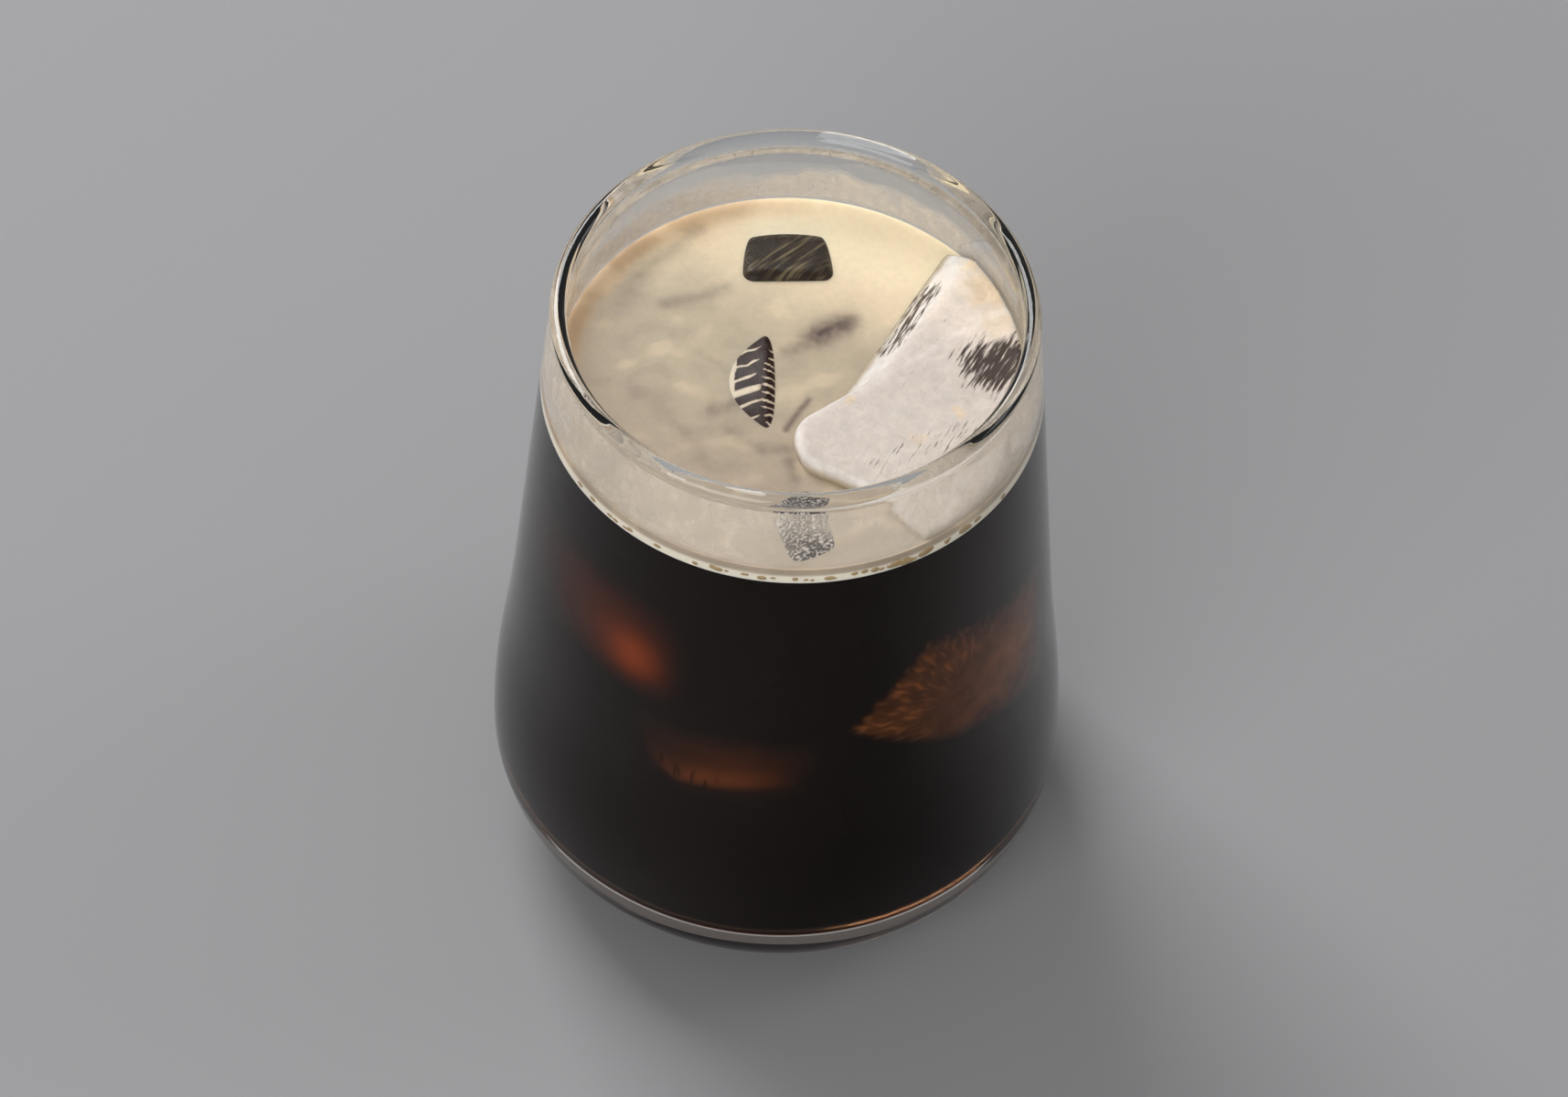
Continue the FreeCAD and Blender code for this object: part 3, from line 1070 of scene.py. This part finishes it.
class AMERICANO_OT_bubbles(bpy.types.Operator):
    """Set the large bubbles of the foam along the glass"""

    bl_idname = "americano.bubbles"
    bl_label = "Foam bubbles"

    def execute(self, context):
        tumbler = context.scene.americano_tumbler
        drink = context.scene.americano_drink
        chance = random.Random(7)
        # the first are strewn over the near side, the others cluster right of its
        # middle, and the last of them are larger
        number, strewn, small = 46, 30, 36
        larger, thin = 1.6, 0.25 * MM
        bubbles = []
        for i in range(number):
            heading = math.radians(chance.uniform(-150, -28))
            if i >= strewn:
                heading = math.radians(chance.gauss(-62, 9))
            height = coffee_high.z + chance.uniform(0.5, 1.0) * MM
            radius = chance.uniform(0.26, 0.5) * MM * (larger if i >= small else 1)
            place = inside_radius(tumbler, height) + drink.reach * 0.8
            bpy.ops.object.select_all(action="DESELECT")
            bpy.ops.mesh.primitive_uv_sphere_add(
                segments=16, ring_count=8, radius=1,
                location=(place * math.cos(heading), place * math.sin(heading), height),
                rotation=(0, 0, heading),
                scale=(thin, radius * chance.uniform(1.1, 1.9), radius),
            )
            bubbles.append(bpy.context.object)
        for obj in bubbles:
            obj.select_set(True)
        bpy.ops.object.join()
        obj = bpy.context.object
        bpy.ops.object.transform_apply(location=True, rotation=True, scale=True)
        shade(obj)
        dress(obj, "foam_bubbles", [foam_bubble()])
        return {"FINISHED"}


class AMERICANO_OT_mist(bpy.types.Operator):
    """Breathe mist on the inside of the wall above the crema"""

    bl_idname = "americano.mist"
    bl_label = "Mist on the glass"

    def execute(self, context):
        tumbler = context.scene.americano_tumbler
        low = crema_high.z + 0.3 * MM
        top = glass_high.z - tumbler.shoulder_drop
        neck = glass_high.z - tumbler.neck_drop
        inner_neck = tumbler.rim_radius - tumbler.neck_inset - tumbler.neck_wall
        shoulder = tumbler.shoulder_radius - tumbler.wall
        up = (shoulder - inside_radius(tumbler, low), top - low)
        neck_up = (inner_neck - shoulder, neck - top)

        def strip(inset):
            return [
                knot(inside_radius(tumbler, low) - inset, low, up),
                knot(shoulder - inset, top, up),
                knot(inner_neck - inset, neck, neck_up),
            ]

        # the strip lies in the glass's own skin, as wet mist lets light out of the wall
        near, far = strip(-0.10 * MM), strip(-0.05 * MM)
        obj = turn_outline(
            near + backwards(far) + near[:1], resolution=14, around=FOAM_AROUND
        )
        wall = 34              # mm from the axis

        def haze(at, normal):
            """Thickest low at the front, with a ragged upper edge and a wiped spot."""
            around = wall * math.atan2(at.y, at.x)
            height = at.z - crema_high.z / MM
            front = ramp(14, -8, at.y)
            # how far above the crema it reaches
            high = 7.2 + 1.8 * ripple(around, 0, 9, 1) + 0.8 * ripple(around, 0, 2.0, 2)
            high += 6 * front
            runs = 0.75 + 0.25 * ripple(around, at.z * 0.25, 1.5, 5)
            share = ramp(-0.4, 1.5, height) * ramp(high + 0.8, high - 2.0, height)
            wiped = math.exp(-(((around + 49) / 7) ** 2)) * ramp(8, 5, height)
            return (0.58 - 0.08 * front - 0.4 * wiped) * share * runs

        paint(obj, "haze", haze)
        dress(obj, "mist", [condensation()])
        return {"FINISHED"}


class AMERICANO_OT_stage(bpy.types.Operator):
    """Set the pale floor, the soft light and the camera"""

    bl_idname = "americano.stage"
    bl_label = "Stage"

    def execute(self, context):
        looks = context.scene.americano_light
        bpy.ops.object.select_all(action="DESELECT")
        bpy.ops.mesh.primitive_circle_add(vertices=96, radius=4, fill_type="NGON")
        floor = bpy.context.object
        floor.name = "floor"
        pale = new_material("pale_floor")
        shader = add_node(
            pale.node_tree, "ShaderNodeBsdfPrincipled",
            {"Base Color": linear(looks.floor), "Roughness": 0.9},
        )
        surface(pale.node_tree, shader.outputs["BSDF"])
        floor.data.materials.append(pale)

        world = bpy.data.worlds.new("studio")
        context.scene.world = world
        world.use_nodes = True
        tree = world.node_tree
        tree.nodes.clear()
        path = add_node(tree, "ShaderNodeLightPath")
        seen = path.outputs["Is Camera Ray"]
        for kind in ("Is Glossy Ray", "Is Transmission Ray"):
            seen = add_node(
                tree, "ShaderNodeMath", links={0: seen, 1: path.outputs[kind]},
                operation="MAXIMUM",
            ).outputs[0]
        strength = add_node(
            tree, "ShaderNodeMapRange",
            {"To Min": looks.fill, "To Max": looks.backdrop}, {"Value": seen},
        )
        light = add_node(
            tree, "ShaderNodeBackground", {"Color": linear("ffffff")},
            {"Strength": strength.outputs["Result"]},
        )
        add_node(
            tree, "ShaderNodeOutputWorld",
            links={"Surface": light.outputs["Background"]},
        )

        # each lamp's place and size in metres and its power in watts
        for name, place, size, power in (
            ("key", (-0.55, 0.85, 1.0), 0.7, looks.key),
            ("side", (1.0, 0.3, 0.8), 0.5, looks.key * 0.12),
            ("front", (-0.50, -0.95, 0.55), 0.8, looks.front),
        ):
            bpy.ops.object.light_add(type="AREA", location=place)
            lamp = bpy.context.object
            lamp.name = name
            lamp.data.shape = "SQUARE"
            lamp.data.size = size
            lamp.data.energy = power
            aim = Vector((0, 0, 60 * MM)) - Vector(place)
            lamp.rotation_euler = aim.to_track_quat("-Z", "Y").to_euler()

        bpy.ops.object.camera_add()
        camera = bpy.context.object
        stand = (0, -0.48880, 0.69450)
        pitch, roll = 0.916, 0.0512    # how far it looks down and tilts, in radians
        ahead = Vector((0, math.cos(pitch), -math.sin(pitch)))
        across = Vector((1, 0, 0))
        above = across.cross(ahead)
        tilt_x = across * math.cos(roll) + above * math.sin(roll)
        tilt_y = above * math.cos(roll) - across * math.sin(roll)
        turn = Matrix((tilt_x, tilt_y, -ahead)).transposed()
        camera.matrix_world = Matrix.Translation(stand) @ turn.to_4x4()
        camera.data.sensor_width = 36
        camera.data.lens = 119.9516
        camera.data.clip_start = 0.01
        context.scene.camera = camera
        context.scene.view_settings.view_transform = "Standard"
        return {"FINISHED"}


# ---- add-on --------------------------------------------------------------------------


class AMERICANO_PT_panel(bpy.types.Panel):
    """The settings and the steps"""

    bl_idname = "AMERICANO_PT_panel"
    bl_label = "Iced americano"
    bl_space_type = "VIEW_3D"
    bl_region_type = "UI"
    bl_category = "Iced americano"

    def draw(self, context):
        for name in GROUPS:
            group = getattr(context.scene, name)
            column = self.layout.column(align=True)
            for setting in group.__annotations__:
                column.prop(group, setting)
        for step in STEPS:
            self.layout.operator(step.bl_idname)


GROUPS = {
    "americano_tumbler": AmericanoTumbler,
    "americano_drink": AmericanoDrink,
    "americano_light": AmericanoLight,
}
STEPS = (
    AMERICANO_OT_tumbler,
    AMERICANO_OT_coffee,
    AMERICANO_OT_ice,
    AMERICANO_OT_sunken_ice,
    AMERICANO_OT_crema,
    AMERICANO_OT_bubbles,
    AMERICANO_OT_mist,
    AMERICANO_OT_stage,
)


def register():
    for group in GROUPS.values():
        bpy.utils.register_class(group)
    for name, group in GROUPS.items():
        setattr(bpy.types.Scene, name, bpy.props.PointerProperty(type=group))
    for step in STEPS:
        bpy.utils.register_class(step)
    bpy.utils.register_class(AMERICANO_PT_panel)


def unregister():
    bpy.utils.unregister_class(AMERICANO_PT_panel)
    for step in reversed(STEPS):
        bpy.utils.unregister_class(step)
    for name, group in GROUPS.items():
        delattr(bpy.types.Scene, name)
        bpy.utils.unregister_class(group)


def main():
    register()
    for step in STEPS:
        family, action = step.bl_idname.split(".")
        getattr(getattr(bpy.ops, family), action)()


if __name__ == "__main__":
    main()
